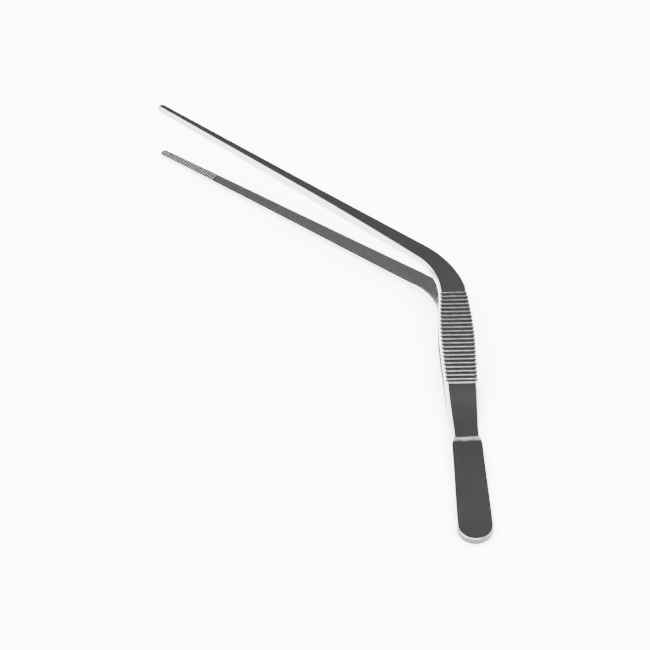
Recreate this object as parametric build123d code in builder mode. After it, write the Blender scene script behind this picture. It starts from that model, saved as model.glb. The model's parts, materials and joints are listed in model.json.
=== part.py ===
from build123d import *
import os
from math import atan2, cos, degrees, radians, sin, tan

# Knee-bent tweezers for planting an aquarium, lying on a table with the jaws open.
# Each arm is one strip of spring steel: a heel tab, a thin leaf that bends, a grooved
# grip, a knee bent sideways and a long toothed jaw. The two tabs are welded together.
# Millimetres, +Z up. A distance s runs along the middle of the blade from the rear end
# of the heel. Side is 1 for the upper arm and -1 for the lower one.

os.makedirs("parts", exist_ok=True)

# Lengths along the blade
heel_length = 33.4
leaf_length = 19.9
grip_length = 31.4
bend_lead = 2.4          # the knee starts to bend this far before the last groove
knee_radius = 22.0
knee_angle = 51.6
jaw_length = 95.8        # straight part, from the end of the knee to the tip

# Widths across the blade
heel_rear_width = 10.1
heel_front_width = 9.1
leaf_rear_width = 8.6
grip_rear_width = 9.8
grip_width = 10.4        # widest place, in the middle of the grip
jaw_root_width = 5.9
jaw_middle_width = 4.05
tip_width = 2.55

# Thicknesses
heel_thickness = 1.25    # one tab
leaf_thickness = 1.4
grip_thickness = 2.05
tip_thickness = 1.2
back_hollow = 0.15       # so that the jaw rests on its knee and its tip

# The step up from the heel tab to the leaf, and the small one from the leaf to the grip
step_height = 0.55
step_length = 1.7
grip_step = 0.3

# The spring
open_angle = 4.75        # how far one arm stands open
bow = 0.75               # from the mid-plane to a closed arm, between heel and teeth

# Bevels along the back of the blade, measured across it
heel_chamfer = 0.3
leaf_bevel = 1.0
grip_bevel = 0.7
jaw_outer_bevel = 0.35
jaw_inner_share = 0.38   # of the blade's width
least_wall = 0.35        # height left under a bevel

# Grooves across the grip
groove_count = 23
groove_width = 0.95
groove_depth = 0.32

# Teeth inside the tip
tooth_count = 27
tooth_pitch = 0.76
tooth_height = 0.24
tooth_gap = 0.04         # between closed teeth

# Weld bead round the rear end of the heel, ground flush
weld_depth = 0.6
weld_height = 0.8

# Places that follow from the sizes above
step_end = heel_length + step_length
grip_start = heel_length + leaf_length
grip_end = grip_start + grip_length
knee_start = grip_end - bend_lead
knee_end = knee_start + knee_radius * radians(knee_angle)
blade_end = knee_end + jaw_length
teeth_start = blade_end - tooth_count * tooth_pitch
teeth_level = (tooth_height + tooth_gap) / 2
hinge_at = heel_length + leaf_length / 2
hinge_height = step_height + leaf_thickness / 2

with BuildLine() as middle_line:
    handle = Line((0, 0), (0, knee_start))
    knee = JernArc(handle @ 1, handle % 1, knee_radius, knee_angle)
    jaw = Line(knee @ 1, knee @ 1 + jaw_length * (knee % 1))
blade_path = middle_line.wire()
tip = jaw @ 1
toward_tip = jaw % 1

# The lower tip, the lower knee and the rear end of the heel stand on the table.
tip_out = tip.Y - hinge_at
tip_up = tip_thickness - hinge_height
opening = radians(open_angle)
tip_drop = hinge_height + tip_out * sin(opening) + tip_up * cos(opening)
tip_reach = hinge_at + tip_out * cos(opening) - tip_up * sin(opening)
tilt = degrees(atan2(tip_drop - heel_thickness, tip_reach))
back_slope = tan(radians(open_angle - tilt))

# The tool's own frame, with the heel's rear end at its origin, stands in the row's frame.
nose = tip_width / 2
left_end = tip.X - nose * (1 - sin(radians(knee_angle)))
middle = (left_end + grip_width / 2) / 2
far_end = tip_reach * cos(radians(tilt)) + tip_drop * sin(radians(tilt))
far_end += nose * (1 - cos(radians(knee_angle)))
near_end = -heel_thickness * sin(radians(tilt))
stand = heel_thickness * cos(radians(tilt))
tool = Location((-middle, -(near_end + far_end) / 2, stand), (tilt, 0, 0))
flat = Plane(tool)
up = Axis(flat.origin, flat.z_dir)


def carried(where, plane):
    """A plane of the tool's frame, carried along with that frame."""
    return Plane(where * plane.location)


def at(s):
    """The point of the blade's middle line at s."""
    return blade_path.position_at(s, position_mode=PositionMode.LENGTH)


def ease(s, start, end):
    """0 before start, 1 after end, and a smooth step between."""
    t = min(max((s - start) / (end - start), 0), 1)
    return t * t * (3 - 2 * t)


def between(s, *stops):
    """The value at s, eased from one (place, value) stop to the next."""
    value = stops[0][1]
    for (start, low), (end, high) in zip(stops, stops[1:]):
        if s > start:
            value = low + (high - low) * ease(s, start, end)
    return value


def width(s):
    """Full width of the blade."""
    if s <= knee_end:
        return between(s, (heel_length, leaf_rear_width), (grip_start, grip_rear_width),
                       ((grip_start + grip_end) / 2, grip_width), (knee_end, jaw_root_width))
    half = jaw_length / 2
    if s <= knee_end + half:
        return jaw_root_width + (jaw_middle_width - jaw_root_width) * (s - knee_end) / half
    return tip_width + (jaw_middle_width - tip_width) * (blade_end - s) / half


def inner(s):
    """Height of a closed arm's inner face above the mid-plane."""
    if s >= teeth_start:
        return -teeth_level
    return between(s, (heel_length, 0), (step_end, step_height), (grip_start, bow),
                   (knee_end, bow), (teeth_start, teeth_level))


def outer(s):
    """Height of a closed arm's back above the mid-plane."""
    grip_height = bow + grip_thickness
    leaf_height = step_height + leaf_thickness
    along = (tip.Y - at(s).Y) / (tip.Y - grip_end)
    on_table = tip_thickness + back_slope * (tip.Y - grip_end) * along
    if s > grip_end:
        return on_table - 4 * back_hollow * along * max(1 - along, 0)
    return between(s, (heel_length, heel_thickness), (step_end, leaf_height),
                   (grip_start - grip_step, grip_height - grip_step),
                   (grip_start, grip_height), (grip_end, on_table))


def bevels(s):
    """Widths of the bevels on the inside and on the outside of the knee's bend."""
    handle_bevel = between(s, (heel_length, heel_chamfer), (step_end, leaf_bevel),
                           (grip_start, leaf_bevel), (grip_start + step_length, grip_bevel))
    on_jaw = ease(s, grip_end, knee_end + 2 * knee_radius)
    past_grip = ease(s, grip_end, grip_end + step_length)
    inside = handle_bevel + (jaw_inner_share * width(s) - handle_bevel) * on_jaw
    outside = handle_bevel + (jaw_outer_bevel - handle_bevel) * past_grip
    return inside, outside


def opened(side, s):
    """Where the mid-plane of the tool stands for the blade at s, once it has sprung open."""
    turn = side * open_angle * ease(s, step_end, grip_start)
    hinge = Pos(0, hinge_at, side * hinge_height)
    return tool * hinge * Rot(turn, 0, 0) * hinge.inverse()


def section_plane(side, s):
    """A plane across the blade: local x to the outside of the bend, local y upwards."""
    along = blade_path.tangent_at(s, position_mode=PositionMode.LENGTH)
    across = Plane(at(s), x_dir=(along.Y, -along.X, 0), z_dir=-along)
    return carried(opened(side, s), across)


def section_corners(side, s):
    """Corners of the blade's section, from the inner face round to the bevelled back."""
    half = width(s) / 2
    inside, outside = bevels(s)
    low = inner(s)
    high = outer(s)
    outside_wall = max(high - outside, low + least_wall)
    inside_wall = max(high - inside, low + least_wall)
    corners = [(-half, low), (half, low), (half, outside_wall), (half - outside, high),
               (-half + inside, high), (-half, inside_wall)]
    return [(x, side * y) for x, y in corners]


def spread(start, end, steps):
    """Places from start up to, but not including, end."""
    return [start + (end - start) * i / steps for i in range(steps)]


def weld_section():
    """The plane and the corners of the bead's section, at one end of its half ring."""
    radius = heel_rear_width / 2
    plane = carried(tool * Pos(0, radius, 0), Plane.XZ)
    corners = [(radius, weld_height / 2), (radius, -weld_height / 2), (radius - weld_depth, 0)]
    turn = Axis(plane.origin, -flat.z_dir)
    return plane, corners, turn


def make_tab(side, name):
    """A flat heel tab, with a round rear end and half of the weld's groove."""
    radius = heel_rear_width / 2
    front = heel_front_width / 2
    weld_plane, weld_corners, weld_turn = weld_section()
    with BuildPart() as tab:
        with BuildSketch(flat):
            with BuildLine():
                rear = ThreePointArc((-radius, radius), (0, 0), (radius, radius))
                Polyline(rear @ 1, (front, heel_length), (-front, heel_length), rear @ 0)
            make_face()
        extrude(amount=side * heel_thickness)
        back = tab.faces().sort_by(up)[-1 if side > 0 else 0]
        chamfer(back.edges().sort_by(Axis.Y)[:-1], heel_chamfer)
        with BuildSketch(weld_plane):
            with BuildLine():
                Polyline(*weld_corners, close=True)
            make_face()
        revolve(axis=weld_turn, revolution_arc=180, mode=Mode.SUBTRACT)
    tab.part.label = name
    export_step(tab.part, f"parts/{name}.step")


def make_leaf(side, name):
    """The thin stretch between heel and grip that bends when the tool is squeezed."""
    stations = spread(heel_length, step_end, 3) + spread(step_end, grip_start - grip_step, 9)
    stations.append(grip_start - grip_step)
    with BuildPart() as leaf:
        for s in stations + [grip_start]:
            with BuildSketch(section_plane(side, s)):
                with BuildLine():
                    Polyline(*section_corners(side, s), close=True)
                make_face()
        loft(ruled=True)
    leaf.part.label = name
    export_step(leaf.part, f"parts/{name}.step")


def make_arm(side, name):
    """The stiff stretch: grooved grip, knee, and jaw with teeth inside a round tip."""
    arm_frame = opened(side, grip_end)
    tooth_lead = tooth_pitch / 2
    stations = (spread(grip_start, grip_start + step_length, 2)
                + spread(grip_start + step_length, knee_start, 6) + spread(knee_start, knee_end, 10)
                + spread(knee_end, teeth_start - tooth_lead, 8))
    stations += [teeth_start - tooth_lead, teeth_start, blade_end]
    with BuildPart() as arm:
        for s in stations:
            with BuildSketch(section_plane(side, s)):
                with BuildLine():
                    Polyline(*section_corners(side, s), close=True)
                make_face()
        loft(ruled=True)

        groove_pitch = grip_length / groove_count
        with BuildSketch(carried(arm_frame, Plane.YZ)):
            for i in range(groove_count):
                y = grip_start + (i + 0.5) * groove_pitch
                half = groove_width / 2
                top = outer(y)
                clear = top + groove_depth
                v_groove = [(y - half, clear), (y - half, top), (y, top - groove_depth),
                            (y + half, top), (y + half, clear)]
                with BuildLine():
                    Polyline(*[(a, side * b) for a, b in v_groove], close=True)
                make_face()
        extrude(amount=grip_width, both=True, mode=Mode.SUBTRACT)

        beyond = -side * tooth_pitch
        first = jaw @ (1 - tooth_count * tooth_pitch / jaw_length)
        along_jaw = Plane(first, x_dir=toward_tip, z_dir=toward_tip.cross(Vector(0, 0, 1)))
        teeth = [(i * tooth_pitch / 2, side * tooth_gap / 2 + (i % 2 - 0.5) * tooth_height)
                 for i in range(2 * tooth_count + 3)]
        lead = [(-2 * tooth_lead, beyond), (-2 * tooth_lead, side * teeth_level),
                (-tooth_gap, side * teeth_level)]
        with BuildSketch(carried(arm_frame, along_jaw)):
            with BuildLine():
                Polyline(*lead, *teeth, (teeth[-1][0], beyond), close=True)
            make_face()
        extrude(amount=jaw_root_width, both=True, mode=Mode.SUBTRACT)

        shoulder = nose + tooth_gap + jaw_outer_bevel / 4
        with BuildSketch(carried(arm_frame, Plane(tip, x_dir=toward_tip))):
            with BuildLine():
                round_end = ThreePointArc((-nose, -shoulder), (0, 0), (-nose, shoulder))
                Polyline(round_end @ 1, (-nose, 2 * tip_width), (nose, 2 * tip_width),
                         (nose, -2 * tip_width), (-nose, -2 * tip_width), round_end @ 0)
            make_face()
        extrude(amount=2 * tip_thickness, both=True, mode=Mode.SUBTRACT)
    arm.part.label = name
    export_step(arm.part, f"parts/{name}.step")


make_tab(1, "upper_heel_tab")
make_tab(-1, "lower_heel_tab")
make_leaf(1, "upper_spring_leaf")
make_leaf(-1, "lower_spring_leaf")
make_arm(1, "upper_arm")
make_arm(-1, "lower_arm")

bead_plane, bead_corners, bead_turn = weld_section()
with BuildPart() as heel_weld:
    with BuildSketch(bead_plane):
        with BuildLine():
            Polyline(*bead_corners, close=True)
        make_face()
    revolve(axis=bead_turn, revolution_arc=180)
heel_weld.part.label = "heel_weld"
export_step(heel_weld.part, "parts/heel_weld.step")
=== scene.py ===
# %% [markdown]
# # Knee-bent planting tweezers
# These tweezers are two strips of spring steel, welded together at the heel. The packed
# model already says where everything is and how it moves. This script gives it its looks.
# Each strip is made the way the maker does it: a straight blank with its round ends, its
# bevels, grooves and teeth, which is then bent round the knee and sprung open.

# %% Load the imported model
import json
import math
import bmesh
import bpy
from mathutils import Matrix, Vector


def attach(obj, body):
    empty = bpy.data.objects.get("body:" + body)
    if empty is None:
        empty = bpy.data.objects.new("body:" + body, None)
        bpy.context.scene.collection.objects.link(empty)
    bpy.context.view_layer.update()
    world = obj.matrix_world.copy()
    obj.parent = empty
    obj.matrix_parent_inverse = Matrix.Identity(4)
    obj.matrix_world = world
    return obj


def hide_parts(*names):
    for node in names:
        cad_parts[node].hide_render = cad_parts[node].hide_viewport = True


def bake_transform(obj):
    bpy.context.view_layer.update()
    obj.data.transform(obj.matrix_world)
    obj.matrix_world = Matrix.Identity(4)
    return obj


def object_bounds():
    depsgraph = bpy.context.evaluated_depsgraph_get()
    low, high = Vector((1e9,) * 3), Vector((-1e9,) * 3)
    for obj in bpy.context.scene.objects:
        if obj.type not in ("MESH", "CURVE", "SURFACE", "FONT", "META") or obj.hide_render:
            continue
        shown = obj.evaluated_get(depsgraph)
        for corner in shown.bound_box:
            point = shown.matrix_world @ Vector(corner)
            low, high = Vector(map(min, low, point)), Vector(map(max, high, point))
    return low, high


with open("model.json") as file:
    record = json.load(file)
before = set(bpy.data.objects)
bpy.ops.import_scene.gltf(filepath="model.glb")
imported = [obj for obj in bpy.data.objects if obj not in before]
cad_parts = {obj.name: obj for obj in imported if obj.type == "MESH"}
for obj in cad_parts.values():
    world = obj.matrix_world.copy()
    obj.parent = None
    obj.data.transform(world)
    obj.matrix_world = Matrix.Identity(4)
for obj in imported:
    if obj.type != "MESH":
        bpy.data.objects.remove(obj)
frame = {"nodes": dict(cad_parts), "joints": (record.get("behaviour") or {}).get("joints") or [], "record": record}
cad_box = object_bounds()

# %% [markdown]
# ## Camera
# A long lens far away keeps the strips' edges nearly parallel, like a drawing's.
# The camera is set by two angles and a distance, so that it's easy to walk round the tool.
# The azimuth turns it about the vertical, and the elevation lifts it above the table.


# %% Stand the camera behind the heel, looking down along the handle
def direction(azimuth, elevation):
    """A unit vector towards a camera at these angles, in degrees."""
    a = math.radians(azimuth)
    e = math.radians(elevation)
    return Vector((math.sin(a) * math.cos(e), -math.cos(a) * math.cos(e), math.sin(e)))


camera_azimuth = -2.67
camera_elevation = 46.56
camera_roll = -0.24
camera_distance = 0.9
aim_shift = Vector((0.0019, -0.001, -0.0048))
looked_at = (Vector(cad_box[0]) + Vector(cad_box[1])) / 2 + aim_shift

lens = bpy.data.cameras.new("camera")
lens.sensor_width = 36
lens.lens = 173.4
lens.clip_start = 0.05
lens.clip_end = 20
camera = bpy.data.objects.new("camera", lens)
bpy.context.scene.collection.objects.link(camera)
back = direction(camera_azimuth, camera_elevation)
aim = back.to_track_quat("Z", "Y").to_matrix().to_4x4()
roll = Matrix.Rotation(math.radians(camera_roll), 4, "Z")
camera.matrix_world = Matrix.Translation(looked_at + camera_distance * back) @ aim @ roll
bpy.context.scene.camera = camera
print("camera at", tuple(round(c, 4) for c in camera.location), "lens", lens.lens)

# %% [markdown]
# ## The tool's own frame
# The tweezers lie tilted, because an open arm slopes down to its tip. It's easier to
# measure along the tool itself, so this cell finds the tool's mid-plane from the two flat
# faces of the heel, and the hinge lines and the opening angle from the two joints.

# %% Find the mid-plane, the heel and the hinges
mounts = {m["name"]: m for m in frame["record"]["mounts"]}
joints = {j["name"]: j for j in frame["joints"]}
mm = 0.001

heel_middle = (Vector(mounts["heel_upper_face"]["pos_m"])
               + Vector(mounts["heel_lower_face"]["pos_m"])) / 2
upward = Vector(mounts["heel_upper_face"]["axis"]).normalized()
rightward = Vector((1, 0, 0))
forward = upward.cross(rightward)
open_angle = joints["upper_arm_flex"]["range_deg"][1]

heel_length = 33.4
heel_rear = heel_middle - forward * heel_length / 2 * mm
tool_axes = Matrix((rightward, forward, upward)).transposed().to_4x4()
tool = Matrix.Translation(heel_rear) @ tool_axes @ Matrix.Scale(mm, 4)
from_row = tool.inverted()
hinge_places = {1: from_row @ Vector(joints["upper_arm_flex"]["pos_m"]),
                -1: from_row @ Vector(joints["lower_arm_flex"]["pos_m"])}
print("open by", open_angle, "degrees about", hinge_places[1], hinge_places[-1])

# %% [markdown]
# ## The strip's drawing
# A strip is described by a few sizes in millimetres, and by where along it they hold.
# `s` is the distance along the strip from the heel's rear end. First come the lengths of
# its stretches: the heel, a short step, the leaf, the grip, the knee's bend and the jaw.

# %% Mark out the strip's length
step_length = 1.7
leaf_length = 19.9
grip_step = 0.3
grip_length = 31.4
bend_lead = 2.4
knee_radius = 22.0
knee_angle = math.radians(51.6)
jaw_length = 95.8

step_end = heel_length + step_length
grip_start = heel_length + leaf_length
grip_end = grip_start + grip_length
knee_start = grip_end - bend_lead
knee_end = knee_start + knee_radius * knee_angle
blade_end = knee_end + jaw_length
print("the blank is", round(blade_end, 1), "mm long")

# %% [markdown]
# ## Easing
# Between two places on the strip, a size is eased from one value to the other, as a
# grinder blends one width into the next. A straight ramp would leave a kink at each end,
# which bright steel shows at once. A smooth step leaves none.


# %% Ease from one size to the next
def ease(s, start, end):
    """0 before start, 1 after end, and a smooth step between."""
    t = min(max((s - start) / (end - start), 0), 1)
    return t * t * (3 - 2 * t)


def between(s, *stops):
    """The value at s, eased from one (place, value) stop to the next."""
    value = stops[0][1]
    for (start, low), (end, high) in zip(stops, stops[1:]):
        if s > start:
            value = low + (high - low) * ease(s, start, end)
    return value


print("a quarter of the way, eased:", ease(0.25, 0, 1))

# %% [markdown]
# ## The knee
# Seen from above, the middle of the strip is a straight line, an arc and a straight line.
# A point of the straight blank moves onto that line, and its distance across the blank
# is kept. That is how a strip bent edgewise in a press behaves, near enough.


# %% Lay the middle line round the knee
def middle_line(s):
    """The point of the middle line at s, and the direction that runs across the strip."""
    turned = min(max((s - knee_start) / knee_radius, 0), knee_angle)
    beyond = max(s - knee_end, 0)
    x = -knee_radius * (1 - math.cos(turned)) - beyond * math.sin(turned)
    y = min(s, knee_start) + knee_radius * math.sin(turned) + beyond * math.cos(turned)
    return Vector((x, y, 0)), Vector((math.cos(turned), math.sin(turned), 0))


tip_place = middle_line(blade_end)[0]
print("tip at", tuple(round(c, 2) for c in tip_place), "from the heel's rear end")

# %% [markdown]
# ## Grooves and teeth
# The grip has 23 cross grooves, which stop wet fingers from slipping. The inside of each
# tip has finer cross teeth. Both are waves along the strip: a soft V for each groove, and
# a sharp zigzag for the teeth. The lower jaw's zigzag is upside down, so that the two mesh.

# %% Shape the grooves and the teeth
groove_count = 23
groove_pitch = grip_length / groove_count
groove_width = 0.9
groove_depth = 0.32
tooth_count = 27
tooth_pitch = 0.76
tooth_height = 0.24
tooth_gap = 0.04
teeth_start = blade_end - tooth_count * tooth_pitch
teeth_level = (tooth_height + tooth_gap) / 2


def groove(s):
    """How deep the grooves cut into the back at s."""
    if not grip_start < s < grip_end:
        return 0
    from_middle = ((s - grip_start) / groove_pitch % 1 - 0.5) * groove_pitch
    side = min(abs(from_middle) / (groove_width / 2), 1)
    return groove_depth * (1 - side)


def zigzag(s):
    """The height of the tooth wave at s, from -1 to 1 halves of a tooth."""
    phase = (s - teeth_start) / tooth_pitch % 1
    return 1 - abs(4 * phase - 2)


print("a groove every", round(groove_pitch, 2), "mm, a tooth every", tooth_pitch, "mm")

# %% [markdown]
# ## The width
# From above, the heel is nearly even and ends in a half circle. The leaf starts narrower,
# the grip swells a little for the fingers, and the jaw tapers to a small round nose. The
# width could be drawn as a curve, but a formula keeps every size in view and quick to set.

# %% Give the strip its width
heel_rear_width = 10.1
heel_front_width = 9.1
leaf_rear_width = 8.6
grip_rear_width = 9.8
grip_width = 10.4
jaw_root_width = 5.9
jaw_middle_width = 4.05
tip_width = 2.55
heel_radius = heel_rear_width / 2
grip_middle = (grip_start + grip_end) / 2
# The nose stops just short of a point, so that its last ring can be capped.
nose_left = 0.002


def half_width(s):
    """Half of the strip's width at s, round at the nose."""
    half_jaw = jaw_length / 2
    if s <= heel_radius:
        width = heel_rear_width
    elif s <= heel_length:
        width = between(s, (heel_radius, heel_rear_width),
                        (heel_length, heel_front_width))
    elif s <= knee_end:
        width = between(s, (heel_length, leaf_rear_width), (grip_start, grip_rear_width),
                        (grip_middle, grip_width), (knee_end, jaw_root_width))
    elif s <= knee_end + half_jaw:
        widening = jaw_root_width - jaw_middle_width
        width = jaw_root_width - widening * (s - knee_end) / half_jaw
    else:
        widening = jaw_middle_width - tip_width
        width = tip_width + widening * (blade_end - s) / half_jaw
    nose = tip_width / 2
    past = max(s - (blade_end - nose), 0) / nose
    return width / 2 * math.sqrt(max(1 - past * past, nose_left))


print("grip", round(2 * half_width(grip_middle), 2), "mm wide")

# %% [markdown]
# ## The thickness
# From the side, the inside of an arm is flat on the heel, then steps off the mid-plane and
# bows away from the other arm, so that only the toothed tips meet. The back steps up to
# the leaf and again to the grip. From there to the tip it slopes so that an open arm lies
# on the table, and it is ground very slightly hollow between the knee and the tip.

# %% Give the strip its inner face and its back
heel_thickness = 1.25
step_height = 0.55
leaf_thickness = 1.4
bow = 0.75
grip_thickness = 2.05
tip_thickness = 1.2
back_hollow = 0.15
nose_drop = 0.15
tilt = math.degrees(math.atan2(forward.z, forward.y))
back_slope = math.tan(math.radians(open_angle - tilt))


def inner_height(s, side):
    """Height of a closed arm's inner face above the mid-plane."""
    if s >= teeth_start:
        return tooth_gap / 2 + side * tooth_height / 2 * zigzag(s)
    return between(s, (heel_length, 0), (step_end, step_height), (grip_start, bow),
                   (knee_end, bow), (teeth_start, teeth_level))


def back_height(s):
    """Height of a closed arm's back above the mid-plane, without the grooves."""
    leaf_height = step_height + leaf_thickness
    grip_height = bow + grip_thickness
    along = (tip_place.y - middle_line(s)[0].y) / (tip_place.y - grip_end)
    on_table = tip_thickness + back_slope * (tip_place.y - grip_end) * along
    nose = ease(s, blade_end - tip_width / 3, blade_end)
    if s > grip_end:
        return on_table - 4 * back_hollow * along * max(1 - along, 0) - nose_drop * nose
    return between(s, (heel_length, heel_thickness), (step_end, leaf_height),
                   (grip_start - grip_step, grip_height - grip_step),
                   (grip_start, grip_height), (grip_end, on_table))


print("tilt", round(tilt, 2), "back falls", round(back_slope, 4), "mm each mm to the tip")

# %% [markdown]
# ## The bevels
# The back's two long edges are ground away at an angle: widely on the leaf, less on the
# grip. Along the jaw the inside of the bend keeps a wide bevel, which leaves a narrow
# crest, and the outside has only a thin one.

# %% Set the bevels
heel_chamfer = 0.3
leaf_bevel = 1.0
grip_bevel = 0.7
jaw_outer_bevel = 0.35
jaw_inner_share = 0.38
widest_outer_share = 0.6


def bevels(s):
    """Widths of the bevels on the inside and on the outside of the knee's bend."""
    handle = between(s, (heel_length, heel_chamfer), (step_end, leaf_bevel),
                     (grip_start, leaf_bevel), (grip_start + step_length, grip_bevel))
    on_jaw = ease(s, grip_end, knee_end + 2 * knee_radius)
    half = half_width(s)
    inside = handle + (2 * jaw_inner_share * half - handle) * on_jaw
    past_grip = ease(s, grip_end, grip_end + step_length)
    outside = handle + (jaw_outer_bevel - handle) * past_grip
    return min(inside, half), min(outside, half * widest_outer_share)


print("bevels at the leaf", bevels(step_end), "and near the tip", bevels(teeth_start))

# %% [markdown]
# ## Soft corners
# A real edge is never perfectly sharp, and its rounded corner is what catches the light. A
# bevel modifier could round them all, but it would also round the grooves and the teeth.
# So a corner of the section is replaced by three points that go round it, where wanted.


# %% Soften a corner
def softened(before, corner, after, radius):
    """Three points that go round a corner in place of it."""
    to_before = before - corner
    to_after = after - corner
    start = corner + to_before * min(radius / max(to_before.length, 1e-6), 0.4)
    end = corner + to_after * min(radius / max(to_after.length, 1e-6), 0.4)
    return [start, (start + 2 * corner + end) / 4, end]


square = (Vector((0, 1)), Vector((0, 0)), Vector((1, 0)))
print("a square corner, softened:", [tuple(p) for p in softened(*square, 0.2)])

# %% [markdown]
# ## The cross-section
# The inner face is flat, and the back has a narrow flat crest between two bevels, above a
# low wall. At the heel's round end, the inner edge is cut back to hold the weld. The
# section is drawn as one ring of points, with the same number of points everywhere, so
# that each ring can be joined to the next.

# %% Draw a section
least_wall = 0.35
edge_break = 0.05
rim_width = 0.4
crest_radius = 0.16
weld_depth = 0.6
weld_height = 0.8
weld_runout = 0.2


def half_section(s, side, bevel, half, weld):
    """One half of the ring, from the inner face's rim round to the crest's edge."""
    low = inner_height(s, side)
    high = back_height(s)
    wall = max(high - bevel, low + least_wall)
    depth = groove(s)
    crest = half - bevel * (1 - depth / (high - wall))
    break_in = edge_break + (weld_depth - edge_break) * weld
    break_up = edge_break + (weld_height / 2 - edge_break) * weld
    inner_rim = Vector((max(half - break_in - rim_width, half / 4), low))
    inner_edge = Vector((half - break_in, low))
    inner_wall = Vector((half, low + break_up))
    outer_wall = Vector((half, wall))
    crest_edge = Vector((crest, high - depth))
    crest_middle = Vector((0, high - depth))
    return ([inner_rim, inner_edge, inner_wall]
            + softened(inner_wall, outer_wall, crest_edge, crest_radius)
            + softened(outer_wall, crest_edge, crest_middle, crest_radius))


def section(s, side):
    """The whole ring: inner face's middle, right half, crest's middle and left half."""
    inside, outside = bevels(s)
    half = half_width(s)
    weld = 1 - ease(s, heel_radius, heel_radius + weld_runout)
    right = half_section(s, side, outside, half, weld)
    left = [Vector((-p.x, p.y)) for p in half_section(s, side, inside, half, weld)]
    crest = Vector(((right[-1].x + left[-1].x) / 2, right[-1].y))
    return [Vector((0, right[0].y))] + right + [crest] + left[::-1]


ring_count = len(section(heel_length, 1))
print("points in a ring:", ring_count)

# %% [markdown]
# ## Marks for the finish and the painted light
# A maker polishes the bevels and leaves the flats satin; the polished points are also
# painted near white, a painted highlight. The shears leave the edge of the heel dull. The
# grooves and the tooth valleys are darkened by black polishing dirt and by painted shade,
# and the edge corners get thin lines of painted shade. Painting this by hand would be slow,
# so each point of a ring carries a few marks from 0 to 1, and the material reads them. The
# marks follow the ring's order, from the inner middle on.

# %% Say which points are polished and painted white, dull, dirty and shaded, or shade-lined
inner_points = (0, 1, 2, ring_count - 2, ring_count - 1)
back_points = range(7, ring_count - 6)


def both_halves(marks):
    """Marks for a whole ring, from those of its right half."""
    return marks + [0] + marks[:0:-1]


# Polished points also get a painted highlight: their colour is painted near white.
polished_and_sheen_points = both_halves([0, 0, 0, 1, 1, 1, 1, 1, 0, 0])
dull = both_halves([0, 0, 0, 1, 1, 0, 0, 0, 0, 0])
# The edge's two corners get a thin dark line of painted shade.
painted_shade_line = both_halves([0, 0, 1, 0.8, 0, 0.8, 0, 0, 0, 0])
print("points with marks:", len(polished_and_sheen_points), len(dull), len(painted_shade_line))

# %% [markdown]
# ## Polishing dirt and painted shade
# The wheel runs across the grooves, so polishing dirt lies deepest at their bottoms, where
# painted shade darkens the hollows too. The grip's whole back is a little darker, more so
# towards its front. The foot of the step to the leaf and the knee's first stretch get
# painted shade. Between the teeth, dirt and painted shade fill the valleys, while the
# polished crests get a painted highlight.


# %% Work out the dirt and the painted shade
def back_dirt_and_shade(s):
    """How dark polishing dirt and painted shade make the back at s."""
    # On the grip: polishing dirt and painted shade, darker towards the front and deepest in the grooves.
    if grip_start < s < grip_end:
        front = (s - grip_start) / grip_length
        begins = 0.25 - 0.15 * front
        in_groove = ease(groove(s) / groove_depth, begins, begins + 0.4)
        return 0.42 + 0.12 * front + 0.6 * in_groove
    # Painted shade on the knee's first stretch, next to the last groove.
    if s >= grip_end:
        return 0.25 * (1 - ease(s, grip_end, grip_end + step_length))
    # Painted shade at the foot of the step to the leaf.
    if heel_length < s < step_end:
        return 0.45 + 0.4 * (1 - ease(s, heel_length, step_end))
    return 0


def tooth_marks(s, side):
    """How dark and how polished the inner face is at s: dirt and painted shade in the valleys, polish and a
    painted highlight on the crests.
    """
    if s < teeth_start:
        return 0, 0
    valley = 0.5 + side * zigzag(s) / 2
    return ease(valley, 0.1, 0.8), 1 - valley


print("dirt on the first ridge:", round(back_dirt_and_shade(grip_start + 0.01), 2))

# %% [markdown]
# ## Where the rings go
# A ring is needed wherever the shape changes: several across each groove and tooth, and
# only one every millimetre or two along a plain stretch. Evenly spaced rings would either
# miss the grooves or make a far heavier mesh.


# %% Choose where the rings go
def spread(start, end, step):
    """Evenly spaced places after start, up to and including end."""
    count = max(round((end - start) / step), 1)
    return [start + (end - start) * (i + 1) / count for i in range(count)]


def groove_places():
    """Ten places across each groove, from edge to edge."""
    places = []
    for i in range(groove_count):
        middle = grip_start + (i + 0.5) * groove_pitch
        for share in (-1, -0.86, -0.6, -0.35, -0.1, 0.1, 0.35, 0.6, 0.86, 1):
            places.append(middle + share * groove_width / 2)
    return places


def tip_places():
    """Places on both flanks of every tooth, and closer and closer ones round the nose."""
    nose = tip_width / 2
    places = [blade_end - nose * (1 - math.sin(math.radians(a))) for a in range(0, 90, 8)]
    flank = tooth_pitch / 2
    for i in range(2 * tooth_count):
        start = teeth_start + i * flank
        places += [start + 0.03, start + flank / 2, start + flank - 0.03]
    return sorted(places)


def stations():
    """Every place along the strip that gets a ring, from the round end to the tip."""
    places = spread(heel_radius, heel_radius + weld_runout, 0.05)
    places += spread(places[-1], heel_length, 2)
    places += spread(heel_length, step_end, 0.17)
    places += spread(step_end, grip_start - grip_step, 0.7)
    places += spread(grip_start - grip_step, grip_start, 0.06)
    places += groove_places()
    places += spread(grip_end, knee_end, 0.5)
    places += spread(knee_end, teeth_start - 0.02, 1.5)
    for place in tip_places():
        if place > places[-1] + 0.015:
            places.append(place)
    return places


print("rings:", len(stations()))

# %% [markdown]
# ## The blank
# The round end of the heel is spun: half a section is turned through half a circle. The
# open side of that half disc is the first ring, and the strip grows from it by extruding
# the ring and moving its points to the next section, over and over, to the tip. A flat
# cap closes the last, tiny ring.


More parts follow.
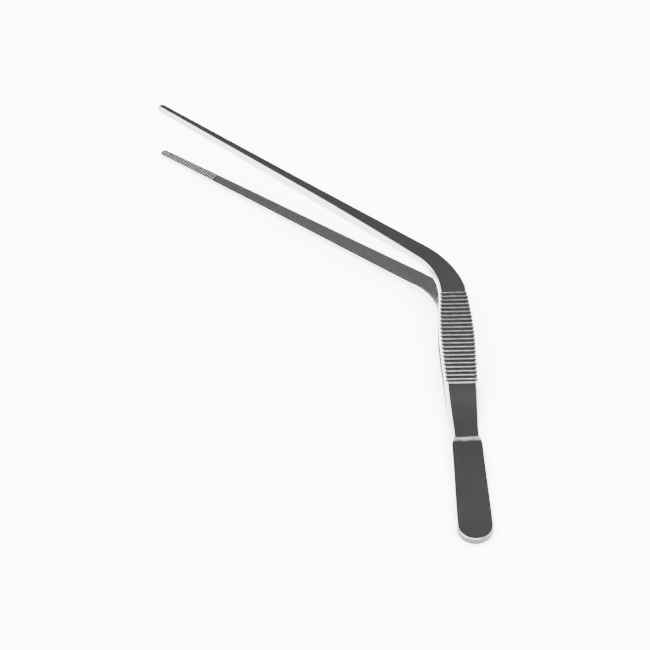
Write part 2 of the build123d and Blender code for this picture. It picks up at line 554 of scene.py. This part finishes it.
# %% Spin the round end and extrude a ring
def next_ring(blank, ring, places):
    """Extrudes a ring and moves the new points to places. Returns the new ring."""
    edges = [blank.edges.get((a, b)) for a, b in zip(ring, ring[1:] + ring[:1])]
    made = bmesh.ops.extrude_edge_only(blank, edges=edges)["geom"]
    fresh = {v for v in made if isinstance(v, bmesh.types.BMVert)}
    grown = []
    for old, place in zip(ring, places):
        ends = [edge.other_vert(old) for edge in old.link_edges]
        new = next(vert for vert in ends if vert in fresh)
        new.co = place
        grown.append(new)
    return grown


def spun_heel(blank, side):
    """The half disc at the rear end. Returns its open side as the first ring."""
    outline = section(heel_radius, side)
    half = outline[:ring_count // 2 + 1]
    points = [blank.verts.new((p.x, heel_radius, p.y)) for p in half]
    edges = [blank.edges.new(pair) for pair in zip(points, points[1:])]
    bmesh.ops.spin(blank, geom=points + edges, cent=(0, heel_radius, 0), axis=(0, 0, -1),
                   angle=math.pi, steps=40, use_merge=False, use_duplicate=False)
    bmesh.ops.remove_doubles(blank, verts=blank.verts, dist=1e-4)
    rim = [v for v in blank.verts if abs(v.co.y - heel_radius) < 1e-4]
    ring = []
    for p in outline:
        place = Vector((p.x, heel_radius, p.y))
        ring.append(min(rim, key=lambda v: (v.co - place).length))
    return ring


trial = bmesh.new()
print("the round end's open side has", len(spun_heel(trial, 1)), "points")
trial.free()

# %% [markdown]
# ## Filed grooves and marked rings
# The grooves don't run quite square across the grip: the knee's bend carries the front
# ones round with it, and the file leans a little. So each ring leans too. As a ring is
# made, its points get their marks, which are kept in three layers on the mesh.

# %% Lean the rings and mark them
groove_slant = 0.022
slant_runs = 4, 8


def slant(s):
    """How far a ring leans back on its right side, for each millimetre across."""
    bent = min(max(s - knee_start, 0), bend_lead) / knee_radius
    filed = groove_slant * ease(s, grip_start - slant_runs[0], grip_start)
    return (filed + bent) * (1 - ease(s, grip_end, grip_end + slant_runs[1]))


def mark_ring(ring, s, side, polish_and_sheen, sheared_edge_and_shade_line, dirt_and_shade):
    """Writes the marks of the ring at s."""
    tooth_dirt_and_shade, tooth_polish_and_sheen = tooth_marks(s, side)
    darkened_edges = 1 - ease(s, heel_radius, heel_length)
    # A painted shade line along the edge corners, over the leaf and fading out along the grip.
    shade_line_share = ease(s, heel_length, grip_start) * (1 - ease(s, grip_start, grip_end))
    for i, vert in enumerate(ring):
        inside = i in inner_points
        vert[polish_and_sheen] = tooth_polish_and_sheen if inside else polished_and_sheen_points[i]
        vert[sheared_edge_and_shade_line] = dull[i] * darkened_edges + painted_shade_line[i] * shade_line_share
        vert[dirt_and_shade] = back_dirt_and_shade(s) if i in back_points else tooth_dirt_and_shade if inside else 0


def mark_heel(blank, polish_and_sheen, sheared_edge_and_shade_line):
    """Writes the marks of the half disc at the rear end."""
    for vert in blank.verts:
        if vert.co.y < heel_radius + 1e-3:
            out = math.hypot(vert.co.x, vert.co.y - heel_radius) - heel_radius
            at_wall = out > -0.05 and abs(vert.co.z) < heel_thickness - heel_chamfer / 2
            vert[sheared_edge_and_shade_line] = 1 if at_wall else 0
            # The round end's chamfer is polished and painted near white, a painted highlight.
            vert[polish_and_sheen] = 1 if out > -heel_chamfer - 0.05 and not at_wall else 0


print("a ring in the middle of the grip leans", slant(grip_middle))

# %% [markdown]
# ## Growing the strip
# With the round end, the rings and the marks ready, the whole blank is one short loop. A
# closed skin has no open edges, so the count of them shows at once whether it worked.


# %% Grow a straight blank
def straight_blank(side):
    """The whole strip, still straight: x across, y along and z up, in millimetres."""
    blank = bmesh.new()
    polish_and_sheen = blank.verts.layers.float.new("polish_and_sheen")
    sheared_edge_and_shade_line = blank.verts.layers.float.new("sheared_edge_and_shade_line")
    dirt_and_shade = blank.verts.layers.float.new("dirt_and_shade")
    ring = spun_heel(blank, side)
    for s in stations():
        places = [Vector((p.x, s - slant(s) * p.x, p.y)) for p in section(s, side)]
        ring = next_ring(blank, ring, places)
        mark_ring(ring, s, side, polish_and_sheen, sheared_edge_and_shade_line, dirt_and_shade)
    bmesh.ops.contextual_create(blank, geom=ring)
    mark_heel(blank, polish_and_sheen, sheared_edge_and_shade_line)
    bmesh.ops.recalc_face_normals(blank, faces=blank.faces)
    return blank


trial = straight_blank(1)
print("blank:", len(trial.verts), "points,", len(trial.faces), "faces, open edges:",
      sum(1 for e in trial.edges if not e.is_manifold))
trial.free()

# %% [markdown]
# ## Bending and springing open
# The grain of the steel runs along the strip and follows it round the knee. So the flat
# pattern is written into a UV map while the blank is still straight: across and along, in
# millimetres. Then each point goes round the knee, and the part in front of the leaf
# turns about the hinge line, smoothly over the length of the leaf.


# %% Bend a point of the blank
def formed(point, side):
    """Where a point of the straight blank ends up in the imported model's frame."""
    middle, across = middle_line(point.y)
    closed = middle + across * point.x + Vector((0, 0, side * point.z))
    turn = side * math.radians(open_angle) * ease(point.y, step_end, grip_start)
    hinge = hinge_places[side]
    opened = hinge + Matrix.Rotation(turn, 3, "X") @ (closed - hinge)
    return tool @ opened


tip = formed(Vector((0, blade_end, tip_thickness)), 1)
print("upper tip at", tuple(round(c, 4) for c in tip))

# %% [markdown]
# ## The two arms
# An arm is one object, because it is one strip of steel. Smooth shading alone would make
# its flat faces look puffy beside the rounded corners. A Weighted Normal modifier lets the
# large faces set the shading, so flats stay flat and only the corners roll over.


# %% Make the two strips
def steel_strip(name, side):
    """One finished arm as an object."""
    blank = straight_blank(side)
    pattern = blank.loops.layers.uv.new("strip")
    for face in blank.faces:
        for loop in face.loops:
            place = loop.vert.co
            loop[pattern].uv = (place.x + place.z, place.y)
    for vert in blank.verts:
        vert.co = formed(vert.co, side)
    bmesh.ops.recalc_face_normals(blank, faces=blank.faces)
    mesh = bpy.data.meshes.new(name)
    blank.to_mesh(mesh)
    blank.free()
    mesh.shade_smooth()
    strip = bpy.data.objects.new(name, mesh)
    bpy.context.scene.collection.objects.link(strip)
    keep_flat = strip.modifiers.new("keep_flats_flat", "WEIGHTED_NORMAL")
    keep_flat.mode = "FACE_AREA"
    keep_flat.weight = 80
    return strip


upper_strip = steel_strip("upper_strip", 1)
lower_strip = steel_strip("lower_strip", -1)
print("upper strip:", len(upper_strip.data.polygons), "faces")

# %% [markdown]
# ## The weld
# The two tabs are welded along their round rear end. The edges are bevelled first, so the
# weld fills a small V groove, and it is then ground flush. It is spun like the heel's end,
# from a small five-sided section that fits the groove.

# %% Spin the weld bead
bead = bmesh.new()
hair = 0.02
bead_corners = [(heel_radius - weld_depth, 0), (heel_radius - hair, -weld_height / 2),
                (heel_radius, -weld_height / 6), (heel_radius, weld_height / 6),
                (heel_radius - hair, weld_height / 2)]
bead_points = [bead.verts.new((x, heel_radius, z)) for x, z in bead_corners]
bead_pairs = zip(bead_points, bead_points[1:] + bead_points[:1])
bead_edges = [bead.edges.new(pair) for pair in bead_pairs]
bead_face = bead.faces.new(bead_points)
bmesh.ops.spin(bead, geom=[bead_face] + bead_edges + bead_points, cent=(0, heel_radius, 0),
               axis=(0, 0, -1), angle=math.pi, steps=72, use_duplicate=False)
print("weld bead:", len(bead.faces), "faces")

# %% [markdown]
# ## Finishing the bead
# The bead gets the same kind of flat pattern as the strips, so that one material serves
# both: across the bead and along its arc, in millimetres. Then it moves to the heel's end,
# and its edges stay sharp, since the grinder leaves them so.

# %% Unroll the bead's pattern and put it at the heel
bead_pattern = bead.loops.layers.uv.new("strip")
for face in bead.faces:
    for loop in face.loops:
        spot = loop.vert.co
        swept = math.atan2(spot.x, heel_radius - spot.y) * heel_radius
        loop[bead_pattern].uv = (spot.z, swept)
for vert in bead.verts:
    vert.co = tool @ vert.co
bmesh.ops.recalc_face_normals(bead, faces=bead.faces)
bead_mesh = bpy.data.meshes.new("weld_bead")
bead.to_mesh(bead_mesh)
bead.free()
weld_bead = bpy.data.objects.new("weld_bead", bead_mesh)
bpy.context.scene.collection.objects.link(weld_bead)
bead_mesh.shade_smooth()
bead_mesh.set_sharp_from_angle(angle=math.radians(35))
print("weld bead:", len(bead_mesh.polygons), "faces")

# %% [markdown]
# ## Shader sums
# Materials are built from nodes. Written out, node sums are long, so a small class wraps a
# socket, and `+`, `-`, `*` and `>` on it add Math nodes. The mirrored forms let a plain
# number stand on the left, as in `0.6 * brush`.


# %% Wrap sockets so that sums can be written as sums
class Value:
    """A shader socket that can be used in a sum."""

    def __init__(self, tree, socket):
        self.tree = tree
        self.socket = socket

    def math(self, operation, left, right):
        node = self.tree.nodes.new("ShaderNodeMath")
        node.operation = operation
        for slot, part in zip(node.inputs, (left, right)):
            if isinstance(part, Value):
                self.tree.links.new(part.socket, slot)
            else:
                slot.default_value = part
        return Value(self.tree, node.outputs[0])

    def __add__(self, other):
        return self.math("ADD", self, other)

    def __radd__(self, other):
        return self.math("ADD", other, self)

    def __sub__(self, other):
        return self.math("SUBTRACT", self, other)

    def __rsub__(self, other):
        return self.math("SUBTRACT", other, self)

    def __mul__(self, other):
        return self.math("MULTIPLY", self, other)

    def __rmul__(self, other):
        return self.math("MULTIPLY", other, self)

    def __gt__(self, other):
        return self.math("GREATER_THAN", self, other)


print("shader sums ready")

# %% [markdown]
# ## Making nodes
# Every other node is made by one method, `node`: its settings come first, because some of
# them change which sockets a node has, and then its sockets get values or links. A few
# short helpers on top of it make the noises, the stretched places and the colour mixes
# that the steel and the room need.


# %% Make any node by its type
class Finish:
    """A material, or the world, and the nodes in it."""

    def __init__(self, holder):
        holder.use_nodes = True
        self.tree = holder.node_tree
        self.tree.nodes.clear()

    def node(self, kind, settings=None, **inputs):
        """Makes a node: its settings first, then values or links for its sockets."""
        made = self.tree.nodes.new(kind)
        for key, value in (settings or {}).items():
            setattr(made, key, value)
        for key, value in inputs.items():
            name = key.replace("_", " ")
            slot = next(i for i in made.inputs if i.name == name and i.enabled)
            if isinstance(value, Value):
                self.tree.links.new(value.socket, slot)
            else:
                slot.default_value = value
        return made

    def out(self, node, name):
        """One output of a node, ready for a sum."""
        slot = next(o for o in node.outputs if o.name == name and o.enabled)
        return Value(self.tree, slot)

    def attribute(self, name):
        """One of the marks that the mesh carries."""
        return self.out(self.node("ShaderNodeAttribute", {"attribute_name": name}), "Fac")

    def noise(self, place, scale, detail=3.0, roughness=0.55):
        """A noise from 0 to 1 at a place."""
        made = self.node("ShaderNodeTexNoise", {"noise_dimensions": "3D"}, Vector=place,
                         Scale=scale, Detail=detail, Roughness=roughness)
        return self.out(made, "Fac")

    def stretched(self, place, scale):
        """A place with its axes stretched, so that a pattern becomes long and thin."""
        made = self.node("ShaderNodeMapping", {"vector_type": "POINT"}, Vector=place,
                         Scale=scale)
        return self.out(made, "Vector")

    def smooth_share(self, value, start, end):
        """0 where the value is below start, 1 above end, and a smooth step between."""
        made = self.node("ShaderNodeMapRange", {"interpolation_type": "SMOOTHSTEP"},
                         Value=value, From_Min=start, From_Max=end, To_Min=0.0, To_Max=1.0)
        return self.out(made, "Result")

    def blend(self, factor, under, over):
        """A plain colour laid over another colour, which is plain or comes from nodes."""
        made = self.node("ShaderNodeMix", {"data_type": "RGBA"})
        share, _, _, _, _, _, below, above = made.inputs[:8]
        self.tree.links.new(factor.socket, share)
        if isinstance(under, Value):
            self.tree.links.new(under.socket, below)
        else:
            below.default_value = (*under, 1)
        above.default_value = (*over, 1)
        return Value(self.tree, made.outputs[2])

    def surface(self, shader, kind="Material"):
        """Ends the nodes with this shader."""
        output = self.node("ShaderNodeOutput" + kind)
        self.tree.links.new(shader.outputs[0], output.inputs["Surface"])


print("node maker ready")

# %% [markdown]
# ## Satin spring steel
# The flats are brushed along the strip to a fine satin, and the bevels are polished, so
# they mirror more sharply; their colour is also painted near white, a painted highlight.
# The brush marks are noise stretched many times longer than it is wide, on the UV map that
# follows the strip round the knee. Over them lies a very faint cloudiness, as handled steel
# has. The marks on the mesh then dull the sheared edge, paint thin shade lines along the
# edge corners, and darken the grooves and the teeth with dirt and painted shade, with an
# uneven edge to the darkening.

# %% Make the steel
# A painted highlight white for polished points, a dull grey for the sheared edge that also paints the shade lines,
# and a black for dirt and painted shade.
painted_sheen_white = (0.9, 0.9, 0.89)
sheared_and_shade_grey = (0.04, 0.04, 0.042)
dirt_and_shade_black = (0.02, 0.019, 0.02)


def spring_steel(name, satin=0.2, mirror=0.12, tone=0.66):
    """Brushed and bevelled stainless steel."""
    material = bpy.data.materials.new(name)
    steel = Finish(material)
    strip_place = steel.out(steel.node("ShaderNodeUVMap", {"uv_map": "strip"}), "UV")
    object_place = steel.out(steel.node("ShaderNodeTexCoord"), "Object")
    polish_and_sheen = steel.attribute("polish_and_sheen")
    sheared_edge_and_shade_line = steel.attribute("sheared_edge_and_shade_line")
    dirt_and_shade = steel.attribute("dirt_and_shade")

    brush = steel.noise(steel.stretched(strip_place, (16, 0.35, 1)), 1.0, 4.0, 0.7)
    fine = steel.noise(steel.stretched(strip_place, (60, 1.5, 1)), 1.0, 2.0, 0.6)
    patches = steel.noise(steel.stretched(strip_place, (0.5, 1.6, 1)), 1.0, 4.0, 0.7)
    clouds = steel.noise(object_place, 90.0, 3.0, 0.5)
    specks = steel.noise(object_place, 2200.0, 1.0, 0.5)
    streaks = 0.6 * brush + 0.4 * fine
    uneven_dirt_and_shade = dirt_and_shade + 0.7 * (patches - 0.5) * (dirt_and_shade > 0.05)
    black = steel.smooth_share(uneven_dirt_and_shade, 0.1, 0.95)

    roughness = (satin - 0.06 + 0.05 * streaks + 0.07 * clouds
                 - (satin - mirror) * polish_and_sheen + 0.25 * sheared_edge_and_shade_line
                 + 0.25 * black + 0.03 * (specks > 0.68))
    deep = (tone - 0.05, tone - 0.05, tone - 0.04)
    pale = (tone + 0.04, tone + 0.037, tone + 0.028)
    clean = steel.blend(0.5 * streaks + 0.5 * clouds, deep, pale)
    # Polished points are painted near white: a painted highlight.
    bright = steel.blend(0.9 * polish_and_sheen, clean, painted_sheen_white)
    # The sheared heel edge is dulled grey, and the same grey paints thin shade lines along the edge corners.
    darkened_edges = steel.blend(0.95 * sheared_edge_and_shade_line, bright, sheared_and_shade_grey)
    # Dirt and painted shade darken the grooves, the tooth valleys, the step's foot and the knee's first stretch.
    base = steel.blend(0.94 * black, darkened_edges, dirt_and_shade_black)
    bump = steel.node("ShaderNodeBump", Strength=0.06, Distance=0.0002, Height=streaks)
    steel.surface(steel.node("ShaderNodeBsdfPrincipled", Metallic=1.0, Roughness=roughness,
                             Base_Color=base, Normal=steel.out(bump, "Normal")))
    return material


upper_steel = spring_steel("upper_steel")
lower_steel = spring_steel("lower_steel")
weld_steel = spring_steel("weld_steel", satin=0.42, mirror=0.42, tone=0.075)
print("materials:", [m.name for m in bpy.data.materials])

# %% [markdown]
# ## Putting the steel on
# Both arms are the same steel, but each has its own material, so that either can be
# changed alone. The weld is ground rougher and darker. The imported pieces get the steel
# too, in case someone shows them in place of the finished strips.

# %% Give every piece its steel
upper_strip.data.materials.append(upper_steel)
lower_strip.data.materials.append(lower_steel)
weld_bead.data.materials.append(weld_steel)
for node in frame["nodes"].values():
    node.data.materials.clear()
    node.data.materials.append(weld_steel if "weld" in node.name else upper_steel)
print("packed pieces with steel:", len(frame["nodes"]))

# %% [markdown]
# ## Put the strips in place of the CAD pieces
# A strip crosses the hinge of its arm, so its shape blends between the heel and the jaw: in
# front of the leaf it follows the jaw, behind it the heel, and the leaf bends between. Each
# strip takes the place of the three CAD pieces that make up its arm, which are hidden, and
# the weld bead hangs on the heel in place of the CAD weld.

# %% Hide the CAD pieces that the strips replace, and hang the weld bead on the heel
for strip, side, words in ((upper_strip, 1, "upper"), (lower_strip, -1, "lower")):
    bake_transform(strip)
    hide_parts(words + "_heel_tab", words + "_spring_leaf", words + "_arm")
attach(weld_bead, "heel")
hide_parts("heel_weld")

# %% [markdown]
# ## The table
# The tweezers lie on a plain white table. It is far larger than the tool, so that its edge
# never shows, and it is a stage: it's there for the view and isn't part of the object.

# %% Lay the table
bpy.ops.mesh.primitive_plane_add(size=6, location=(0, 0, 0))
table = bpy.context.object
table.name = "table"
paper = bpy.data.materials.new("white_table")
table_finish = Finish(paper)
table_finish.surface(table_finish.node("ShaderNodeBsdfPrincipled", Roughness=0.9,
                                       Base_Color=(0.93, 0.93, 0.93, 1)))
table.data.materials.append(paper)
print("table laid")

# %% [markdown]
# ## The room
# Bright steel shows its surroundings more than itself. Grey walls all round keep the tool
# clear of the white table from every side. Soft white patches stand where the bevels, the
# step and the tooth flanks mirror the room, and a dark panel high above the far side of
# the table gives the flat faces their deep grey. Real reflector boards would do the same.


# %% Hang boards in the room
def board(room, looking, under, azimuth, elevation, core, edge, brightness):
    """Lays a soft round patch over the room: its direction, and two radii, in degrees."""
    facing = room.node("ShaderNodeVectorMath", {"operation": "DOT_PRODUCT"})
    room.tree.links.new(looking.socket, facing.inputs[0])
    facing.inputs[1].default_value = direction(azimuth, elevation)
    share = room.smooth_share(room.out(facing, "Value"), math.cos(math.radians(edge)),
                              math.cos(math.radians(core)))
    return room.blend(share, under, (brightness, brightness, brightness))


wall_grey = (0.16, 0.16, 0.16)
white = 1.0
boards = ((180, 0, 22, 45, white), (134, 0, 22, 42, white), (-134, 0, 22, 42, white),
          (-67, 34, 18, 34, white), (0, 54, 16, 28, white),
          (180, 59, 38, 52, 0.042), (180, 60, 4, 20, 0.02))

world = bpy.data.worlds.new("grey_room")
bpy.context.scene.world = world
grey_room = Finish(world)
looking = grey_room.out(grey_room.node("ShaderNodeTexCoord"), "Generated")
lit = wall_grey
for numbers in boards:
    lit = board(grey_room, looking, lit, *numbers)
glow = grey_room.node("ShaderNodeBackground", Color=lit, Strength=5.0)
grey_room.surface(glow, "World")
print("boards in the room:", len(boards))

# %% [markdown]
# ## The lamp
# One broad, square lamp hangs above the table and makes it white, with hardly a shadow. It
# is hidden from reflections, so that only the room shows in the steel.

# %% Light the table
lamp_light = bpy.data.lights.new("soft_light", "AREA")
lamp_light.shape = "SQUARE"
lamp_light.size = 2.4
lamp_light.energy = 420
lamp = bpy.data.objects.new("soft_light", lamp_light)
lamp.location = (0.1, -0.1, 1.4)
lamp.visible_glossy = False
bpy.context.scene.collection.objects.link(lamp)
print("lamp above the table at", tuple(lamp.location))
